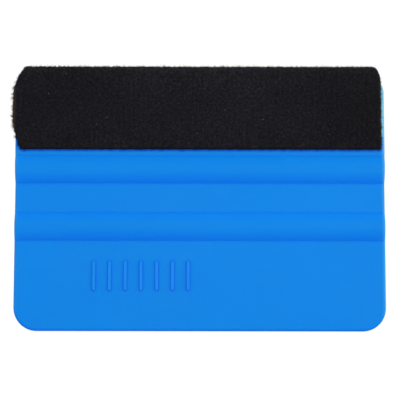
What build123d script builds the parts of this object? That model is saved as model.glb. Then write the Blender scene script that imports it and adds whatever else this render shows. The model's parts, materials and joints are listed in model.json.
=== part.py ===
from build123d import *
import math
import os

# A hand squeegee for pressing down vinyl film: a flat moulded card with two grip ribs on each face, and a
# strip of felt over its working edge. The strip is folded round the edge and held by an adhesive film.
#
# Frame, in millimetres: the card lies flat, +Z up, and rests on the crests of its ribs at Z = 0. X runs
# along the working edge and +Y points out of it. X = 0 and Y = 0 are the middle of the whole, with the felt.

# ---- Card, across its width and through its thickness ----
card_width = 100.0
side_flare = 0.22
side_flare_radius = 40.0
card_corner_radius = 6.3
panel_thickness = 2.4
tail_edge_thickness = 1.8
working_edge_thickness = 1.6
rim_radius = 0.75

# ---- Card, from the tail edge to the working edge ----
tail_panel_depth = 24.33
rib_width = 7.65
valley_depth = 8.01
rib_to_felt_gap = 1.73
felt_cover = 22.03

# ---- Grip ribs ----
rib_height = 1.3
rib_land_width = 0.8
rib_root_radius = 0.6

# ---- Felt strip and the film that holds it ----
film_thickness = 0.12
felt_thickness = 1.15
felt_left_bulge = 0.95
felt_left_bulge_height = 9.8
felt_left_foot_inset = 1.7
felt_left_foot_height = 3.4
felt_left_shoulder_bulge = 0.45
felt_left_shoulder_setback = 3.03
felt_left_shoulder_radius = 8.0
felt_left_corner_inset = 2.9
felt_left_corner_radius = 1.2
felt_right_inset = 0.8
felt_right_corner_radius = 3.8

# ---- Raised grip bars on the tail panel ----
bar_count = 7
bar_pitch = 4.23
bar_width = 1.0
bar_length = 8.2
bar_relief = 0.25
bar_draft_degrees = 12.0
bar_edge_radius = 0.08
bar_to_rib_gap = 5.4
first_bar_inset = 21.5

# ---- Places along the card, as distances from its tail edge ----
wrap_thickness = film_thickness + felt_thickness
lower_rib_start = tail_panel_depth
upper_rib_start = lower_rib_start + rib_width + valley_depth
taper_start = upper_rib_start + rib_width
felt_start = taper_start + rib_to_felt_gap
card_depth = felt_start + felt_cover
overall_depth = card_depth + wrap_thickness

# ---- Sides and heights in the frame ----
overall_width = max(felt_left_bulge, side_flare) + card_width + side_flare
right_side = overall_width / 2 - side_flare
left_side = right_side - card_width
card_middle = (left_side + right_side) / 2
half_panel = panel_thickness / 2
tail_taper = math.atan((panel_thickness - tail_edge_thickness) / 2 / tail_panel_depth)
working_taper = math.atan((panel_thickness - working_edge_thickness) / 2 / (card_depth - taper_start))
felt_start_height = half_panel - rib_to_felt_gap * math.tan(working_taper)
felt_face_height = felt_start_height + wrap_thickness / math.cos(working_taper)
middle_height = max(half_panel + rib_height, felt_face_height)
rim = min(rim_radius, 0.48 * tail_edge_thickness, 0.48 * working_edge_thickness)


def at(from_tail, above_middle):
    """A point of the cross-section, from its distance to the tail edge and its height above mid-thickness."""
    return (from_tail - overall_depth / 2, above_middle + middle_height)


def section(edges):
    """The face inside a closed outline of the cross-section, which lies in the YZ plane."""
    return make_face(Plane.YZ * Wire(edges))


def rib_edges(start):
    """The upper outline of one rib: an arched flank, a flat land along the crest, and an arched flank."""
    flank = (rib_width - rib_land_width) / 2
    radius = (flank**2 + rib_height**2) / (2 * rib_height)
    half_turn = math.asin(flank / radius) / 2
    side_step = radius * math.sin(half_turn)
    drop = radius * (1 - math.cos(half_turn))
    crest = half_panel + rib_height
    land_start = start + flank
    land_end = land_start + rib_land_width
    foot, end_foot = at(start, half_panel), at(start + rib_width, half_panel)
    return [
        ThreePointArc(foot, at(land_start - side_step, crest - drop), at(land_start, crest)),
        Line(at(land_start, crest), at(land_end, crest)),
        ThreePointArc(at(land_end, crest), at(land_end + side_step, crest - drop), end_foot),
    ]


def card_section():
    """The card's cross-section, the same above and below its middle plane, with rounded rib roots."""
    upper = [
        Line(at(0, 0), at(0, tail_edge_thickness / 2)),
        Line(at(0, tail_edge_thickness / 2), at(lower_rib_start, half_panel)),
        *rib_edges(lower_rib_start),
        Line(at(lower_rib_start + rib_width, half_panel), at(upper_rib_start, half_panel)),
        *rib_edges(upper_rib_start),
        Line(at(taper_start, half_panel), at(card_depth, working_edge_thickness / 2)),
        Line(at(card_depth, working_edge_thickness / 2), at(card_depth, 0)),
    ]
    above = section([*upper, Line(at(card_depth, 0), at(0, 0))])
    whole = (above + mirror(above, about=Plane.XY.offset(middle_height))).clean()
    roots = [start + step for start in (lower_rib_start, upper_rib_start) for step in (0, rib_width)]
    root_points = [at(root, side * half_panel) for root in roots for side in (1, -1)]
    corners = [v for v in whole.vertices() if any(math.dist((v.Y, v.Z), p) < 1e-3 for p in root_points)]
    return fillet(corners, rib_root_radius)


def plan_prism(outline):
    """A plan outline as an upright prism, tall enough to cut through the whole part."""
    return extrude(Plane.XY.offset(-middle_height) * outline, 4 * middle_height)


def rim_edges(solid):
    """The edges where the upright walls meet the two faces of the card."""
    walls = [f for f in solid.faces() if abs(f.normal_at(f.center()).Z) < 1e-6]
    edges = [e for wall in walls for e in wall.edges()]
    return [e for e in edges if sum(e.is_same(other) for other in edges) == 1]


def grip_bars():
    """Raised bars with round ends, side by side on the upper face of the tail panel."""
    to_tail = tail_panel_depth - bar_to_rib_gap - bar_length / 2
    surface = half_panel - (tail_panel_depth - to_tail) * math.tan(tail_taper)
    upwards = (0, -math.sin(tail_taper), math.cos(tail_taper))
    bars = []
    for index in range(bar_count):
        x = left_side + first_bar_inset + index * bar_pitch
        panel = Plane((x, *at(to_tail, surface)), x_dir=(1, 0, 0), z_dir=upwards)
        outline = panel.offset(-bar_relief) * Rot(0, 0, 90) * SlotOverall(bar_length, bar_width)
        bar = extrude(outline, 2 * bar_relief, taper=bar_draft_degrees)
        bars.append(fillet(bar.faces().sort_by(Axis.Z)[-1].edges(), bar_edge_radius))
    return bars


def card_outline():
    """The card seen from above. Past the upper rib its sides flare out a little, in a soft double bend."""
    tail, bend_start, bend_end, tip = (at(y, 0)[0] for y in (0, upper_rib_start, felt_start, card_depth))
    right_half = [
        (right_side, tail),
        (right_side, bend_start),
        (right_side + side_flare, bend_end),
        (right_side + side_flare, tip),
    ]
    left_half = [(2 * card_middle - x, y) for x, y in reversed(right_half)]
    outline = make_face(Polyline(*right_half, *left_half, close=True).edges())
    rows = outline.vertices().group_by(Axis.Y)
    outline = fillet(rows[1] + rows[2], side_flare_radius)
    rows = outline.vertices().group_by(Axis.Y)
    return fillet(rows[0] + rows[-1], card_corner_radius)


def make_card():
    """The moulded card with its ribs, rounded rims and grip bars."""
    slab = Pos(card_middle, 0) * extrude(card_section(), card_width, both=True)
    card = slab & plan_prism(card_outline())
    card = fillet(rim_edges(card), rim)
    for bar in grip_bars():
        card += bar
    return card


def working_end(growth):
    """The section of the card's working end, from the felt's lower edge out, grown by an even thickness."""
    tip = card_depth + growth
    foot_height = felt_start_height + growth / math.cos(working_taper)
    tip_height = foot_height - (tip - felt_start) * math.tan(working_taper)
    corners = [
        at(felt_start, -foot_height),
        at(felt_start, foot_height),
        at(tip, tip_height),
        at(tip, -tip_height),
    ]
    face = section(Polyline(*corners, close=True).edges())
    return fillet(face.vertices().sort_by(Axis.Y)[-2:], rim + growth)


def felt_outline():
    """The hand-cut strip from above. Its left end bulges past the card, and its right end stops short."""
    low = at(felt_start, 0)[0]
    tip = overall_depth / 2
    foot = (left_side + felt_left_foot_inset, low)
    above_foot = (left_side, low + felt_left_foot_height)
    widest = (left_side - felt_left_bulge, low + felt_left_bulge_height)
    shoulder = (left_side - felt_left_shoulder_bulge, low + felt_cover - felt_left_shoulder_setback)
    left_corner = (left_side + felt_left_corner_inset, tip)
    right = right_side - felt_right_inset
    outline = make_face(
        [
            Line(foot, above_foot),
            TangentArc(widest, above_foot, tangent=(0, -1)),
            TangentArc(widest, shoulder, tangent=(0, 1)),
            *Polyline(shoulder, left_corner, (right, tip), (right, low), foot).edges(),
        ]
    )
    roundings = [
        ((right, tip), felt_right_corner_radius),
        (left_corner, felt_left_corner_radius),
        (shoulder, felt_left_shoulder_radius),
    ]
    for (x, y), radius in roundings:
        corner = [v for v in outline.vertices() if math.dist((v.X, v.Y), (x, y)) < 1e-6]
        outline = fillet(corner, radius)
    return outline


def wrap(inner_growth, outer_growth):
    """A layer folded round the working edge, between two distances from the card, cut to the outline."""
    layer = working_end(outer_growth) - working_end(inner_growth)
    return extrude(layer, overall_width, both=True) & plan_prism(felt_outline())


parts = {
    "card": make_card(),
    "adhesive_film": wrap(0, film_thickness),
    "felt_strip": wrap(film_thickness, wrap_thickness),
}

os.makedirs("parts", exist_ok=True)
for name, shape in parts.items():
    shape.label = name
    export_step(shape, f"parts/{name}.step")
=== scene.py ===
import json
import math

import bpy
import numpy as np
from mathutils import Matrix, Vector
from mathutils.bvhtree import BVHTree


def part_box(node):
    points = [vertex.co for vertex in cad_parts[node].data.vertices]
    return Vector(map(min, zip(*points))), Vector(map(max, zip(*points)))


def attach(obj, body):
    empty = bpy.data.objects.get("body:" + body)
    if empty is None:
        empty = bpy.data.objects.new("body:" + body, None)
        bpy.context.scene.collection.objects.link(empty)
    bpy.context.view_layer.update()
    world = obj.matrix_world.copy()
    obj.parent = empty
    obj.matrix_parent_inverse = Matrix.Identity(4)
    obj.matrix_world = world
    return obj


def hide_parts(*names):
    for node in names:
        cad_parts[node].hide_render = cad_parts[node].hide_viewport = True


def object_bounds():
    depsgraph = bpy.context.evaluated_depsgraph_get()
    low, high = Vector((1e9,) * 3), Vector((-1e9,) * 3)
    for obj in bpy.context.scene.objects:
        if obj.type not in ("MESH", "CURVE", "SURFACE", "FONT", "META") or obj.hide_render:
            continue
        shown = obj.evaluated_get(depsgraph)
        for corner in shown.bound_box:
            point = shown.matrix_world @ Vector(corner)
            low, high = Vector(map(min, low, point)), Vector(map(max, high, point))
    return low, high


# The looks of a hand squeegee: its moulded card, the brushed felt that is folded over its working edge, the
# felt's nap and cut ends, and the film that holds it. Lengths are in metres, in the frame of the packed
# model. Colours are linear red, green and blue. A noise's scale is in waves per metre.

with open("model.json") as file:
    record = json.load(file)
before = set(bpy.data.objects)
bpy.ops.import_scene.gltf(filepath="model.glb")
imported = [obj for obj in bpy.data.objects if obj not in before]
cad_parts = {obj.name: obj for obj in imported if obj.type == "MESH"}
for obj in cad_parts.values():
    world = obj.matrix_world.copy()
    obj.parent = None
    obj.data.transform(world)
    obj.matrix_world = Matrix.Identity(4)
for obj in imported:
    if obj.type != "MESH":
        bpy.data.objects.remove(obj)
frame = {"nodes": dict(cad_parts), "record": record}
cad_low, cad_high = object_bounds()

MM = 0.001

# ---- Places that come from the frame ----
card_low, card_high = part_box("card")
film_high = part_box("adhesive_film")[1]
felt_low, felt_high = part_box("felt_strip")
card_middle_x = (card_low.x + card_high.x) / 2
middle_z = (card_low.z + card_high.z) / 2
felt_width = felt_high.x - felt_low.x
felt_thickness = felt_high.y - film_high.y
felt_foot_y = felt_low.y
felt_tip_y = felt_high.y
felt_half_height = (felt_high.z - felt_low.z) / 2
panel_mount = next(mount for mount in frame["record"]["mounts"] if mount["name"] == "tail_panel_front")
panel_point = Vector(panel_mount["pos_m"])
panel_up = Vector(panel_mount["axis"]).normalized()

# ---- The card's looks ----
flat_blues = (0.0048, 0.249, 0.850), (0.0054, 0.257, 0.870)
# Painted shade: the rib slopes take a deeper, richer blue for the shade that falls on them.
painted_slope_shade_blues = (0.0080, 0.238, 0.965), (0.0086, 0.246, 0.985)
# The raised bars' tops are a paler blue.
bar_top_blue = (0.018, 0.31, 0.88)
# Painted highlight: the card's side rims are paler, the right one, towards the light, fully and the left one
# in part.
painted_rim_highlight_blue = (0.055, 0.36, 0.80)
# Painted glow: a pale cyan on the right rim beside the felt, where light from behind would shine through it.
painted_backlight_blue = (0.19, 0.52, 0.76)
# Painted shade: a darker blue in the creases.
painted_crease_shade_blue = (0.0040, 0.150, 0.86)
gentle_slope = 0.05
steep_slope = 0.66
felt_side_slope_shade_share = 0.55
painted_rim_width = 1.3 * MM
left_rim_highlight_share = 0.45
backlit_strip_below_foot = 2 * MM
backlit_strip_above_foot = 6 * MM
backlit_strip_slopes = 0.05, 0.45
backlit_strip_wall_share = 0.2
crease_shade_reach = 0.9 * MM
crease_shade_openness = 0.86, 0.985
crease_shade_share = 0.9
bar_top_height = 0.2 * MM
bar_top_share = 0.5
bars_reach_y = 6 * MM
bars_fade = 1 * MM
satin_roughness = 0.44, 0.52
scuff_roughness = 0.07
flow_depth = 0.02 * MM
grain_depth = 0.012 * MM

# ---- The felt's looks ----
felt_blacks = (0.0028, 0.0026, 0.0040), (0.0088, 0.0082, 0.0112), (0.0225, 0.0210, 0.0270)
nap_blacks = (0.004, 0.0037, 0.005), (0.011, 0.0103, 0.0135), (0.028, 0.026, 0.032)
fold_blacks = (0.009, 0.0084, 0.010), (0.032, 0.030, 0.032), (0.11, 0.10, 0.10)
patch_greys = (0.66, 0.66, 0.66), (1.0, 1.0, 1.0)
cut_end_brown = (0.050, 0.037, 0.013)
left_tint_start, left_tint_end = -0.1 * MM, 1.0 * MM
right_tint_width = 0.4 * MM
right_tint_share = 0.4
wear_tint = (2, 2, 1.9)
broad_wear_start, broad_wear_end = 10.5 * MM, 2.6 * MM
broad_wear_share = 0.17
close_wear_start, close_wear_end = 2.8 * MM, 0.2 * MM
close_wear_share = 0.55
close_wear_power = 1.6
rubbed_tint = (1.22, 1.20, 1.24)
rubbed_from = 0.1, 0.4
rubbed_to = 0.7, 0.95
felt_roughness = 0.86, 0.97
fibre_roughness = 0.55, 0.75
mat_depth = 0.09 * MM
hair_depth = 0.07 * MM
lint_greys = (0.16, 0.16, 0.17), (0.34, 0.33, 0.32)
film_tans = (0.57, 0.51, 0.39), (0.67, 0.61, 0.49)
film_roughness = 0.3, 0.45

# ---- The felt strip's shape ----
card_taper = 0.96 * math.pi / 180
fold_radius = 2.02 * MM
felt_body_inset = 0.06 * MM
felt_inner_clearance = 0.01 * MM
column_step = 0.31 * MM
row_step = 0.35 * MM
fold_rows = 18
layers_through = 3
wale_pitch = 1.355 * MM
wale_relief = 0.048 * MM
wale_wander_share = 0.25
wale_fading = 0.45
course_pitch = 1.1 * MM
course_relief = 0.014 * MM
lump_relief = 0.034 * MM
fold_relief = 0.085 * MM
rim_round = 0.45 * MM
rim_sink = 0.16 * MM
cut_raggedness = 0.08 * MM
end_smoothing = 1.1 * MM

# ---- The fibres ----
nap_widths = 0.022 * MM, 0.042 * MM
loose_widths = 0.025 * MM, 0.045 * MM
lint_widths = 0.04 * MM, 0.07 * MM
lint_lengths = 0.25 * MM, 0.55 * MM
lint_spread = 0.07 * MM
lint_height = 0.05 * MM
fibre_bend = 0.45
knee_width_share = 0.75
root_depth = 0.03 * MM
end_root_depth = 0.05 * MM
clear_of_ends = 0.001, 0.999
tuft_mean, tuft_swing = 0.7, 0.75
tuft_limits = 0.12, 2.0
nap_least_lift = 0.1
nap_sideways = 0.75
nap_shortest = 0.35
foot_shortest = 0.3
loose_shortest = 0.12

# ---- The light ----
light_tint = (1.0, 1.0, 0.62)
light_size = 0.4
key_place, key_power = Vector((0.07, 0.19, 0.96)), 7.6
side_place, side_power = Vector((0.9, 0.05, 0.12)), 3.0
sky_tint = (0.33, 0.36, 1.0)
sky_strength = 0.42
floor_half = 1.5
floor_drop = 0.02 * MM
floor_greys = (0.06, 0.06, 0.06), (0.07, 0.07, 0.07)
floor_glow = 0.985

# ---- The camera and its view ----
view_distance = 0.5
view_tilt = math.radians(9.27)
view_roll = math.radians(0.09)
view_centre = Vector((card_middle_x + 0.03 * MM, -0.70 * MM, middle_z))
lens_mm = 166.05
sensor_mm = 36.0


# ------------------------------------------------------------------ small helpers
def smooth_noise(seed, count, shortest, longest):
    """A smooth random function of two lengths, about -1 to 1: a sum of waves in random directions."""
    rng = np.random.default_rng(seed)
    angle = rng.uniform(0, 2 * math.pi, count)
    wavelength = shortest * (longest / shortest) ** rng.uniform(0, 1, count)
    phase = rng.uniform(0, 2 * math.pi, count)
    across = 2 * math.pi * np.cos(angle) / wavelength
    along = 2 * math.pi * np.sin(angle) / wavelength

    def value(a, b):
        total = np.zeros(np.broadcast(a, b).shape)
        for wave in range(count):
            total += np.sin(across[wave] * a + along[wave] * b + phase[wave])
        return total / math.sqrt(count / 2) / 1.6

    return value


def mesh_object(name, points, faces, smooth=True):
    """A new mesh object from an array of points and a list of faces."""
    mesh = bpy.data.meshes.new(name)
    mesh.from_pydata(points.tolist(), [], [tuple(face) for face in faces])
    mesh.polygons.foreach_set("use_smooth", [smooth] * len(mesh.polygons))
    mesh.update()
    piece = bpy.data.objects.new(name, mesh)
    bpy.context.scene.collection.objects.link(piece)
    return piece


class Nodes:
    """The node tree of a material or world, with short calls for adding and joining nodes."""

    def __init__(self, owner, shader="Principled BSDF"):
        owner.use_nodes = True
        self.owner = owner
        self.tree = owner.node_tree
        self.shader = self.tree.nodes[shader]

    def feed(self, socket, value):
        """Joins an output to a socket, or sets the socket to a number, vector or colour."""
        if isinstance(value, bpy.types.NodeSocket):
            self.tree.links.new(value, socket)
        elif socket.type == "RGBA":
            socket.default_value = (*value, 1)
        else:
            socket.default_value = value

    def add(self, kind, inputs=None, **settings):
        """A new node with these settings. Each input is given by its name or number."""
        node = self.tree.nodes.new("ShaderNode" + kind)
        for key, value in settings.items():
            setattr(node, key, value)
        for key, value in (inputs or {}).items():
            self.feed(node.inputs[key], value)
        return node

    def set(self, **values):
        """Sets or joins the shader's own sockets, with _ for each space in a name."""
        for key, value in values.items():
            self.feed(self.shader.inputs[key.replace("_", " ")], value)

    def place(self, stretch=(1, 1, 1)):
        """The piece's own coordinates, stretched."""
        coordinates = self.add("TexCoord").outputs["Object"]
        return self.add("Mapping", {"Vector": coordinates, "Scale": stretch}).outputs["Vector"]

    def axes(self, vector):
        """The X, Y and Z of a vector."""
        return tuple(self.add("SeparateXYZ", {0: vector}).outputs)

    def noise(self, scale, detail=3, roughness=0.55, stretch=(1, 1, 1)):
        inputs = {"Vector": self.place(stretch), "Scale": scale, "Detail": detail, "Roughness": roughness}
        return self.add("TexNoise", inputs).outputs["Fac"]

    def ramp(self, source, places, colours):
        """Blends from colour to colour as the source goes from place to place."""
        node = self.add("ValToRGB", {"Fac": source})
        elements = node.color_ramp.elements
        while len(elements) < len(places):
            elements.new(0.5)
        for element, place, colour in zip(elements, places, colours):
            element.position = place
            element.color = (*colour, 1)
        return node.outputs["Color"]

    def range(self, source, low, high, to_low, to_high):
        """Spreads low to high of the source evenly over to_low to to_high, and holds both ends."""
        inputs = {"Value": source, "From Min": low, "From Max": high, "To Min": to_low, "To Max": to_high}
        return self.add("MapRange", inputs).outputs["Result"]

    def math(self, kind, *values):
        """A sum of numbers and outputs."""
        return self.add("Math", dict(enumerate(values)), operation=kind).outputs[0]

    def times(self, first, second):
        return self.math("MULTIPLY", first, second)

    def larger(self, first, second):
        return self.math("MAXIMUM", first, second)

    def mix(self, share, first, second, kind="MIX"):
        """Two colours blended, by a share of the second."""
        inputs = {0: share, 6: first, 7: second}
        return self.add("Mix", inputs, data_type="RGBA", blend_type=kind).outputs[2]

    def product(self, first, second):
        """Two colours multiplied."""
        return self.mix(1.0, first, second, kind="MULTIPLY")

    def bump(self, height, strength, distance, under=None):
        inputs = {"Strength": strength, "Distance": distance, "Height": height}
        if under is not None:
            inputs["Normal"] = under
        return self.add("Bump", inputs).outputs["Normal"]


def new_material(name):
    return Nodes(bpy.data.materials.new(name))


# ------------------------------------------------------------------ materials
def card_plastic():
    """Blue polypropylene with a fine grain and paler tops on its raised bars, with light and shade painted
    in: painted shade makes the rib slopes a deeper blue and the creases a darker blue, painted highlights
    make the rims paler, and a painted glow makes the rim beside the felt pale cyan.
    """
    m = new_material("card_plastic")
    cloud = m.noise(scale=45, detail=2)
    flat_body = m.ramp(cloud, (0.3, 0.7), flat_blues)
    # Painted shade: the rib slopes are coloured a deeper blue, fully on those facing the tail and in part on
    # those facing the felt.
    slope_shaded_body = m.ramp(cloud, (0.3, 0.7), painted_slope_shade_blues)
    _, slope_y, slope_z = m.axes(m.add("TexCoord").outputs["Normal"])
    tail_side_slope_shade = m.range(slope_y, -steep_slope, -gentle_slope, 1, 0)
    felt_side_slope_shade = m.range(slope_y, gentle_slope, steep_slope, 0, felt_side_slope_shade_share)
    body = m.mix(m.larger(tail_side_slope_shade, felt_side_slope_shade), flat_body, slope_shaded_body)

    place = m.place()
    x, y, _ = m.axes(place)
    # The tops of the raised bars are coloured a paler blue, fading out past the bars' end.
    height = m.add("VectorMath", {0: place, 1: panel_up}, operation="DOT_PRODUCT").outputs["Value"]
    bar_top = panel_up.dot(panel_point) + bar_top_height
    bars_end = panel_point.y + bars_reach_y
    on_top = m.range(height, bar_top - bar_top_height / 2, bar_top, 0, 1)
    on_bars = m.times(on_top, m.range(y, bars_end, bars_end + bars_fade, 1, 0))
    worn = m.mix(m.times(on_bars, bar_top_share), body, bar_top_blue)

    # Painted highlight: paler rims at both sides of the card, strongest on the right, towards the light.
    painted_rim_start = card_high.x - painted_rim_width
    left_rim_highlight = m.range(x, card_low.x, card_low.x + painted_rim_width, left_rim_highlight_share, 0)
    right_rim_highlight = m.range(x, painted_rim_start, card_high.x, 0, 1)
    rim_highlighted = m.mix(m.larger(left_rim_highlight, right_rim_highlight), worn, painted_rim_highlight_blue)
    # Painted glow: the right rim near the felt's foot is coloured pale cyan, as if lit from behind, with
    # less of it on the steep walls.
    backlit_beside_felt = m.times(
        m.range(x, painted_rim_start, painted_rim_start + painted_rim_width / 2, 0, 1),
        m.range(y, felt_foot_y - backlit_strip_below_foot, felt_foot_y + backlit_strip_above_foot, 0, 1),
    )
    thin = m.times(backlit_beside_felt, m.range(slope_z, *backlit_strip_slopes, backlit_strip_wall_share, 1))
    with_painted_backlight = m.mix(thin, rim_highlighted, painted_backlight_blue)

    # Painted shade: the creases, found by ambient occlusion, are darkened in the colour, except in the
    # painted glow beside the felt.
    openness = m.add("AmbientOcclusion", {"Distance": crease_shade_reach}, samples=8).outputs["AO"]
    painted_crease_shade = m.times(m.range(openness, *crease_shade_openness, crease_shade_share, 0), m.range(thin, 0, 1, 1, 0))

    scuffs = m.range(m.noise(scale=260, detail=2, stretch=(0.12, 3, 1)), 0.62, 0.72, 0, 1)
    satin = m.range(m.noise(scale=90, detail=4), 0.35, 0.65, *satin_roughness)
    flow = m.bump(m.noise(scale=140, detail=1), 0.10, flow_depth)
    m.set(
        Base_Color=m.mix(painted_crease_shade, with_painted_backlight, painted_crease_shade_blue),
        Roughness=m.math("MULTIPLY_ADD", scuffs, scuff_roughness, satin),
        Normal=m.bump(m.noise(scale=7500, detail=2), 0.16, grain_depth, under=flow),
        Specular_IOR_Level=0.02,
        IOR=1.49,
        Subsurface_Weight=0.15,
        Subsurface_Radius=(0.15, 0.5, 1.0),
        Subsurface_Scale=0.5 * MM,
    )
    return m.owner


def end_tint(m, plain):
    """Browns the felt a little near its cut ends, where the dye is thin on the cut fibres."""
    x = m.axes(m.place())[0]
    left = m.range(x, felt_low.x + left_tint_start, felt_low.x + left_tint_end, 1, 0)
    right = m.range(x, felt_high.x - right_tint_width, felt_high.x, 0, right_tint_share)
    return m.mix(m.larger(left, right), plain, cut_end_brown)


def fold_wear(m, plain):
    """Greys the felt towards its fold, where use has raised and bleached the fibres."""
    y = m.axes(m.place())[1]
    broad = m.range(y, felt_tip_y - broad_wear_start, felt_tip_y - broad_wear_end, 0, broad_wear_share)
    close = m.range(y, felt_tip_y - close_wear_start, felt_tip_y - close_wear_end, 0, 1)
    share = m.math("MULTIPLY_ADD", m.math("POWER", close, close_wear_power), close_wear_share, broad)
    return m.mix(share, plain, m.product(plain, wear_tint))


def hand_rub(m, plain):
    """Greys the felt a little between its ends, where hands and use have rubbed it."""
    x = m.axes(m.place())[0]
    start, full = (felt_low.x + share * felt_width for share in rubbed_from)
    waning, end = (felt_low.x + share * felt_width for share in rubbed_to)
    rubbed = m.times(m.range(x, start, full, 0, 1), m.range(x, waning, end, 1, 0))
    return m.mix(rubbed, plain, m.product(plain, rubbed_tint))


def felt_cloth():
    """Black brushed knit: mottled dye, matted nap, and wider patches where the nap lies another way."""
    m = new_material("felt_cloth")
    mottle = m.noise(scale=1500, detail=4, roughness=0.72)
    dye = m.ramp(mottle, (0.3, 0.5, 0.7), felt_blacks)
    brushed = m.product(dye, m.ramp(m.noise(scale=38, detail=3), (0.32, 0.68), patch_greys))
    hairs = m.noise(scale=3000, detail=3, roughness=0.65, stretch=(1.8, 0.6, 1))
    mats = m.bump(m.noise(scale=1500, detail=2, stretch=(1.3, 0.8, 1)), 0.45, mat_depth)
    m.set(
        Base_Color=end_tint(m, fold_wear(m, hand_rub(m, brushed))),
        Roughness=m.range(mottle, 0.3, 0.7, *felt_roughness),
        Normal=m.bump(hairs, 0.65, hair_depth, under=mats),
        Specular_IOR_Level=0.10,
        Sheen_Weight=0.04,
        Sheen_Roughness=0.45,
        Sheen_Tint=(0.75, 0.74, 0.85),
    )
    return m.owner


def fibre(name, blacks):
    """Single felt fibres, some a little lighter than others."""
    m = new_material(name)
    shade = m.noise(scale=1300, detail=3, roughness=0.7)
    m.set(
        Base_Color=end_tint(m, fold_wear(m, m.ramp(shade, (0.35, 0.6, 0.8), blacks))),
        Roughness=m.range(shade, 0.3, 0.7, *fibre_roughness),
        Specular_IOR_Level=0.2,
    )
    return m.owner


def lint_fibre():
    """Pale specks of dust and lint caught in the nap."""
    m = new_material("lint_fibre")
    m.set(Base_Color=m.ramp(m.noise(scale=900, detail=2), (0.3, 0.7), lint_greys), Roughness=0.8)
    return m.owner


def adhesive():
    """Cloudy double-sided film, seen only as a thin line at the felt's edges."""
    m = new_material("adhesive")
    cloud = m.noise(scale=800, detail=3)
    m.set(
        Base_Color=m.ramp(cloud, (0.3, 0.7), film_tans),
        Roughness=m.range(cloud, 0.3, 0.7, *film_roughness),
    )
    return m.owner


def white_floor():
    """A white light table: it glows so evenly that nothing on it throws a shadow."""
    m = new_material("white_floor")
    m.set(
        Base_Color=m.ramp(m.noise(scale=3), (0.0, 1.0), floor_greys),
        Roughness=0.9,
        Specular_IOR_Level=0.0,
        Emission_Color=(1, 1, 1),
        Emission_Strength=floor_glow,
    )
    return m.owner


# ------------------------------------------------------------------ the felt's shape
class Fold:
    """The strip's course round the working edge. Distances along it run from the upper foot to the lower."""

    def __init__(self):
        self.centre_y = felt_tip_y - fold_radius
        slope = math.tan(card_taper)
        edge_height = felt_half_height - slope * (self.centre_y - felt_foot_y)
        self.centre_z = edge_height - fold_radius / math.cos(card_taper)
        self.straight = (self.centre_y - felt_foot_y) / math.cos(card_taper)
        self.turn = fold_radius * (math.pi - 2 * card_taper)
        self.length = 2 * self.straight + self.turn
        felt = frame["nodes"]["felt_strip"].data
        corners = [tuple(v.co) for v in felt.vertices]
        self.solid = BVHTree.FromPolygons(corners, [tuple(p.vertices) for p in felt.polygons])

    def spine(self, along):
        """The line that the strip is wrapped round at the fold's radius, and the way out from it."""
        along = np.asarray(along, float)
        before = np.clip(self.straight - along, 0, None)
        after = np.clip(along - self.straight - self.turn, 0, None)
        turned = np.clip((along - self.straight) / self.turn, 0, 1)
        angle = math.pi / 2 - card_taper - turned * (math.pi - 2 * card_taper)
        y = self.centre_y - (before + after) * math.cos(card_taper)
        side = np.cos(math.pi * turned)
        z = self.centre_z * side + (before - after) * math.sin(card_taper)
        return y, z, np.cos(angle), np.sin(angle)

    def point(self, across, along, depth):
        """The place at a share of the width, a distance along the strip, and a depth under its face."""
        y, z, out_y, out_z = self.spine(along)
        reach = fold_radius - depth
        left, right = self.ends(along)
        x = left + (right - left) * across
        return np.stack(np.broadcast_arrays(x, y + out_y * reach, middle_z + z + out_z * reach), axis=-1)

    def outward(self, along):
        """The direction out of the strip's face, and the direction along it."""
        _, _, out_y, out_z = self.spine(along)
        zero = np.zeros_like(out_y)
        return np.stack([zero, out_y, out_z], axis=-1), np.stack([zero, out_z, -out_y], axis=-1)

    def measure_ends(self, rows):
        """Finds both ends of the solid strip at these rows, with rays along the working edge."""
        y, z, out_y, out_z = self.spine(rows)
        reach = fold_radius - felt_thickness / 2
        outside = 2 * cad_high.x
        found = []
        for row_y, row_z in zip(y + out_y * reach, middle_z + z + out_z * reach):
            left = self.solid.ray_cast(Vector((-outside, row_y, row_z)), Vector((1, 0, 0)))[0]
            right = self.solid.ray_cast(Vector((outside, row_y, row_z)), Vector((-1, 0, 0)))[0]
            found.append((left.x, right.x))
        self.end_rows = np.asarray(rows, float)
        apart = (self.end_rows[:, None] - self.end_rows[None, :]) / end_smoothing
        share = np.exp(-0.5 * apart**2)
        self.end_places = share @ np.array(found) / share.sum(axis=1, keepdims=True)

    def ends(self, along):
        """The strip's left and right ends at any distance along it, with the wander of a hand's cut."""
        along = np.asarray(along, float)
        left = np.interp(along, self.end_rows, self.end_places[:, 0])
        right = np.interp(along, self.end_rows, self.end_places[:, 1])
        zero = np.zeros_like(along)
        return left + cut_raggedness * left_cut(along, zero), right + cut_raggedness * right_cut(along, zero)


left_cut = smooth_noise(11, 24, 0.7 * MM, 5 * MM)
right_cut = smooth_noise(12, 24, 0.7 * MM, 5 * MM)
lumps = smooth_noise(13, 60, 0.75 * MM, 2.0 * MM)
wale_wander = smooth_noise(14, 10, 9 * MM, 40 * MM)
wale_strength = smooth_noise(15, 16, 3 * MM, 18 * MM)
tufts = smooth_noise(16, 40, 0.45 * MM, 1.8 * MM)
fold_lumps = smooth_noise(17, 40, 0.8 * MM, 5 * MM)

fold = Fold()


def row_places():
    """Distances along the strip of the mesh's rows, closer together round the fold."""
    straight_rows = round(fold.straight / row_step)
    first = np.linspace(0, fold.straight, straight_rows, endpoint=False)
    turn = np.linspace(fold.straight, fold.straight + fold.turn, fold_rows, endpoint=False)
    last = np.linspace(fold.straight + fold.turn, fold.length, straight_rows + 1)
    return np.concatenate([first, turn, last])


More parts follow.
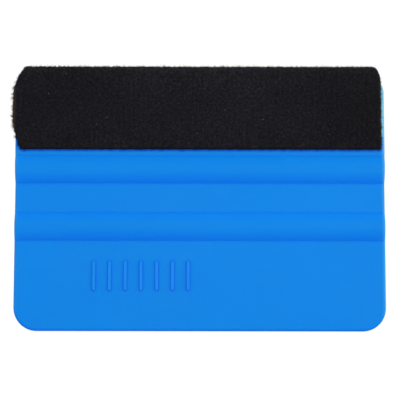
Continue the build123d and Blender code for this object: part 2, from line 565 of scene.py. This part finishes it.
def face_depth(x, along, left, right):
    """How deep the brushed face lies: wandering wales, staggered courses, lumps, worn fold and sunk rims."""
    wander = wale_wander_share * wale_pitch * wale_wander(x, along)
    strength = 1 + wale_fading * wale_strength(x, along)
    wale = wale_relief * strength * np.cos(2 * math.pi * (x + wander) / wale_pitch)
    course = course_relief * np.cos(2 * math.pi * along / course_pitch + x / wale_pitch * math.pi)
    to_rim = np.minimum(np.minimum(x - left, right - x), np.minimum(along, fold.length - along))
    sunk = rim_sink * np.clip(1 - to_rim / rim_round, 0, 1) ** 2
    from_fold = (along - fold.length / 2) / (fold.turn / 2)
    worn = fold_relief * np.exp(-(from_fold**2)) * fold_lumps(x, along)
    relief = wale + course + lump_relief * lumps(x, along) + worn
    return felt_body_inset + 0.5 * wale_relief - relief + sunk


def skin_faces(index):
    """The faces on the six sides of a block of points, all facing outwards."""

    def side(grid, flip):
        corners = [grid[:-1, :-1], grid[1:, :-1], grid[1:, 1:], grid[:-1, 1:]]
        quads = np.stack(corners, axis=-1).reshape(-1, 4)
        return quads[:, ::-1] if flip else quads

    return np.concatenate(
        [
            side(index[:, :, 0], False),
            side(index[:, :, -1], True),
            side(index[0, :, :], False),
            side(index[-1, :, :], True),
            side(index[:, 0, :], True),
            side(index[:, -1, :], False),
        ]
    )


def felt_body():
    """The strip as a thick folded sheet: a fine outer face, a plain inner face, and ragged cut edges."""
    rows = row_places()
    fold.measure_ends(rows)
    columns = round(felt_width / column_step)
    across, along, through = np.meshgrid(
        np.linspace(0, 1, columns + 1), rows, np.linspace(0, 1, layers_through + 1), indexing="ij"
    )
    left, right = fold.ends(along)
    x = left + (right - left) * across
    outer = face_depth(x, along, left, right)
    inner = felt_thickness - felt_inner_clearance
    points = fold.point(across, along, outer + (inner - outer) * through)
    bulge = cut_raggedness * np.sin(math.pi * through) * np.where(across < 0.5, -1, 1)
    points[..., 0] += np.where((across == 0) | (across == 1), bulge, 0)

    on_skin = np.zeros(across.shape, bool)
    for axis in range(3):
        layers = np.moveaxis(on_skin, axis, 0)
        layers[0] = layers[-1] = True
    index = np.full(across.shape, -1)
    index[on_skin] = np.arange(on_skin.sum())
    return mesh_object("felt", points[on_skin], skin_faces(index))


# ------------------------------------------------------------------ the nap
def fibre_mesh(name, roots, lean, length, thickness, seed):
    """Many fine tapered fibres as one mesh: each is closed, three-sided, bent once and pointed."""
    rng = np.random.default_rng(seed)
    count = len(roots)
    lean = lean / np.linalg.norm(lean, axis=1, keepdims=True)
    second = lean + rng.normal(0, fibre_bend, (count, 3))
    second /= np.linalg.norm(second, axis=1, keepdims=True)
    knee = roots + lean * (0.5 * length)[:, None]
    tip = knee + second * (0.5 * length)[:, None]
    side = np.cross(lean, rng.normal(0, 1, (count, 3)))
    side /= np.linalg.norm(side, axis=1, keepdims=True)
    other = np.cross(lean, side)
    rings = []
    for base, share in ((roots, 1.0), (knee, knee_width_share)):
        for corner in range(3):
            angle = 2 * math.pi * corner / 3
            offset = math.cos(angle) * side + math.sin(angle) * other
            rings.append(base + offset * (share * thickness / 2)[:, None])
    points = np.stack([*rings, tip], axis=1)
    # No fibre reaches into the surface that the part lies on.
    points[..., 2] = np.maximum(points[..., 2], cad_low.z + thickness.min() / 4)

    after = (1, 2, 0)
    sides = [(c, after[c], 3 + after[c], 3 + c) for c in range(3)]
    ends = [(3 + c, 3 + after[c], 6) for c in range(3)] + [(0, 2, 1)]
    first = (np.arange(count) * points.shape[1])[:, None]
    faces = []
    for face in sides + ends:
        faces += (first + np.array(face)).tolist()
    return mesh_object(name, points.reshape(-1, 3), faces)


def tufted(x, along):
    """How much longer or shorter the fibres are here, as they mat together in tufts."""
    return np.clip(tuft_mean + tuft_swing * tufts(x, along), *tuft_limits)


def face_roots(across, along):
    """Roots just under the brushed face, and where they are along the working edge."""
    left, right = fold.ends(along)
    x = left + (right - left) * across
    return x, fold.point(across, along, face_depth(x, along, left, right) + root_depth)


def nap(name, count, low, high, longest, lift, seed):
    """Nap on a stretch of the strip's face, mostly lying along the wales."""
    rng = np.random.default_rng(seed)
    along = rng.uniform(low, high, count)
    x, roots = face_roots(rng.uniform(*clear_of_ends, count), along)
    out, down = fold.outward(along)
    heading = rng.uniform(0, 2 * math.pi, count)
    lean = down * np.sin(heading)[:, None] + out * rng.uniform(nap_least_lift, lift, count)[:, None]
    lean[:, 0] += nap_sideways * np.cos(heading)
    length = rng.uniform(nap_shortest, 1.0, count) * longest * tufted(x, along)
    return fibre_mesh(name, roots, lean, length, rng.uniform(*nap_widths, count), seed + 1)


def fold_fuzz(name, count, longest, seed):
    """Sparse fibres that stand almost straight out of the fold, most of them short."""
    rng = np.random.default_rng(seed)
    along = fold.straight + fold.turn * rng.uniform(0.1, 0.9, count)
    x, roots = face_roots(rng.uniform(*clear_of_ends, count), along)
    out, down = fold.outward(along)
    lean = out + down * rng.normal(0, 0.3, count)[:, None]
    lean[:, 0] += rng.normal(0, 0.45, count)
    length = (loose_shortest + rng.uniform(0, 1, count) ** 2.2) * longest * tufted(x, along)
    return fibre_mesh(name, roots, lean, length, rng.uniform(*loose_widths, count), seed + 1)


def end_fringe(name, side, count, longest, seed):
    """Loose fibres that stand out of one cut end of the strip, the left for side -1 and the right for 1."""
    rng = np.random.default_rng(seed)
    along = rng.uniform(0, fold.length, count)
    depth = rng.uniform(0.1, 0.95, count) * felt_thickness
    across = np.full(count, 0.0 if side < 0 else 1.0)
    roots = fold.point(across, along, depth)
    roots[:, 0] -= side * end_root_depth
    out, down = fold.outward(along)
    lean = down * rng.normal(0, 0.5, count)[:, None] + out * rng.normal(0.1, 0.35, count)[:, None]
    lean[:, 0] += side
    length = (loose_shortest + rng.uniform(0, 1, count) ** 2) * longest * tufted(0.0, along)
    return fibre_mesh(name, roots, lean, length, rng.uniform(*loose_widths, count), seed + 1)


def foot_fringe(name, count, longest, seed):
    """Short fibres along the strip's two cut lower edges."""
    rng = np.random.default_rng(seed)
    upper = rng.uniform(0, 1, count) < 0.6
    along = np.where(upper, 0.0, fold.length)
    across = rng.uniform(*clear_of_ends, count)
    depth = rng.uniform(0.1, 0.8, count) * felt_thickness
    roots = fold.point(across, along, depth)
    out, down = fold.outward(along)
    towards_tail = down * np.where(upper, -1.0, 1.0)[:, None]
    lean = towards_tail + out * rng.normal(0.25, 0.3, count)[:, None]
    lean[:, 0] += rng.normal(0, 0.6, count)
    length = rng.uniform(foot_shortest, 1.0, count) * longest * tufted(across * felt_width, along)
    return fibre_mesh(name, roots, lean, length, rng.uniform(*loose_widths, count), seed + 1)


def lint():
    """A few pale specks caught in the nap of the upper face, three short fibres each."""
    # Each speck's share of the strip's width, and its share of the way from the foot up to the fold.
    specks = [
        (0.13, 0.97),
        (0.095, 0.72),
        (0.255, 0.405),
        (0.228, 0.31),
        (0.497, 0.20),
        (0.577, 0.50),
        (0.68, 0.37),
        (0.86, 0.19),
        (0.405, 0.03),
    ]
    flattened = (1, 1, 0.4)
    above_face = np.array([-lint_height])
    rng = np.random.default_rng(71)
    roots, lean = [], []
    for across, up in specks:
        for _ in range(3):
            base = fold.point(np.array([across]), np.array([up * fold.straight]), above_face)[0]
            roots.append(base + rng.normal(0, lint_spread, 3) * flattened)
            lean.append(rng.normal(0, 1, 3) * flattened)
    length = rng.uniform(*lint_lengths, len(roots))
    thickness = rng.uniform(*lint_widths, len(roots))
    return fibre_mesh("lint", np.array(roots), np.array(lean), length, thickness, 72)


def dress(piece, material):
    """Gives a piece its material and the body it rides on."""
    piece.data.materials.append(material)
    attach(piece, "root")
    return piece


def build_felt():
    """The felt strip with its nap, its loose fibres and its lint."""
    fold_end = fold.straight + fold.turn
    body = dress(felt_body(), felt_cloth())
    dark_fibres = fibre("nap_fibre", nap_blacks)
    grey_fibres = fibre("fold_fibre", fold_blacks)
    upper = nap("nap_upper", 18500, 0, fold.straight, longest=1.1 * MM, lift=0.5, seed=21)
    tip = nap("nap_tip", 11000, fold.straight - 1.2 * MM, fold_end, longest=0.9 * MM, lift=1.2, seed=23)
    lower = nap("nap_lower", 13000, fold_end, fold.length, longest=1.1 * MM, lift=0.4, seed=25)
    fuzz = fold_fuzz("fuzz_tip", 11000, longest=0.95 * MM, seed=33)
    left = end_fringe("fringe_left", -1, 6800, longest=1.0 * MM, seed=27)
    right = end_fringe("fringe_right", 1, 3400, longest=0.7 * MM, seed=29)
    feet = foot_fringe("fringe_feet", 4600, longest=0.8 * MM, seed=31)
    for piece in (upper, lower, left, right, feet):
        dress(piece, dark_fibres)
    for piece in (tip, fuzz):
        dress(piece, grey_fibres)
    specks = dress(lint(), lint_fibre())
    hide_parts("felt_strip")


# ------------------------------------------------------------------ the stage
def build_floor():
    """A plain white floor just under the part."""
    signs = ((-1, -1), (1, -1), (1, 1), (-1, 1))
    corners = np.array([(x * floor_half, y * floor_half, -floor_drop) for x, y in signs])
    floor = mesh_object("floor", corners, [(0, 1, 2, 3)], smooth=False)
    floor.data.materials.append(white_floor())


def build_sky():
    """A soft bluish light from all round, and a white backdrop for the camera alone."""
    world = Nodes(bpy.data.worlds.new("studio"), "Background")
    world.set(Color=sky_tint, Strength=sky_strength)
    backdrop = world.add("Background", {"Color": (1, 1, 1)})
    seen = world.add("LightPath").outputs["Is Camera Ray"]
    either = world.add("MixShader", {0: seen, 1: world.shader.outputs[0], 2: backdrop.outputs[0]})
    world.feed(world.tree.nodes["World Output"].inputs["Surface"], either.outputs[0])
    bpy.context.scene.world = world.owner


def build_lamp(name, place, power):
    """A soft round lamp that points at the part."""
    light = bpy.data.lights.new(name, "AREA")
    light.color = light_tint
    light.shape = "DISK"
    light.size = light_size
    light.energy = power
    lamp = bpy.data.objects.new(name, light)
    lamp.location = place
    lamp.rotation_euler = (-place).to_track_quat("-Z", "Y").to_euler()
    bpy.context.scene.collection.objects.link(lamp)


def build_camera():
    """The camera, almost straight above the part and tilted a little towards its tail."""
    lens = bpy.data.cameras.new("camera")
    lens.lens = lens_mm
    lens.sensor_width = sensor_mm
    camera = bpy.data.objects.new("camera", lens)
    turn = Matrix.Rotation(view_tilt, 4, "X") @ Matrix.Rotation(view_roll, 4, "Z")
    back = Vector((0, -math.sin(view_tilt), math.cos(view_tilt)))
    camera.matrix_world = Matrix.Translation(view_centre + back * view_distance) @ turn
    bpy.context.scene.collection.objects.link(camera)
    bpy.context.scene.camera = camera
    bpy.context.scene.view_settings.view_transform = "Standard"


def wear(node, material):
    """Puts a material on a CAD node in place of its packed one."""
    for slot in frame["nodes"][node].material_slots:
        slot.material = material


build_floor()
build_sky()
build_lamp("key", key_place, key_power)
build_lamp("side", side_place, side_power)
build_camera()
wear("card", card_plastic())
wear("adhesive_film", adhesive())
build_felt()
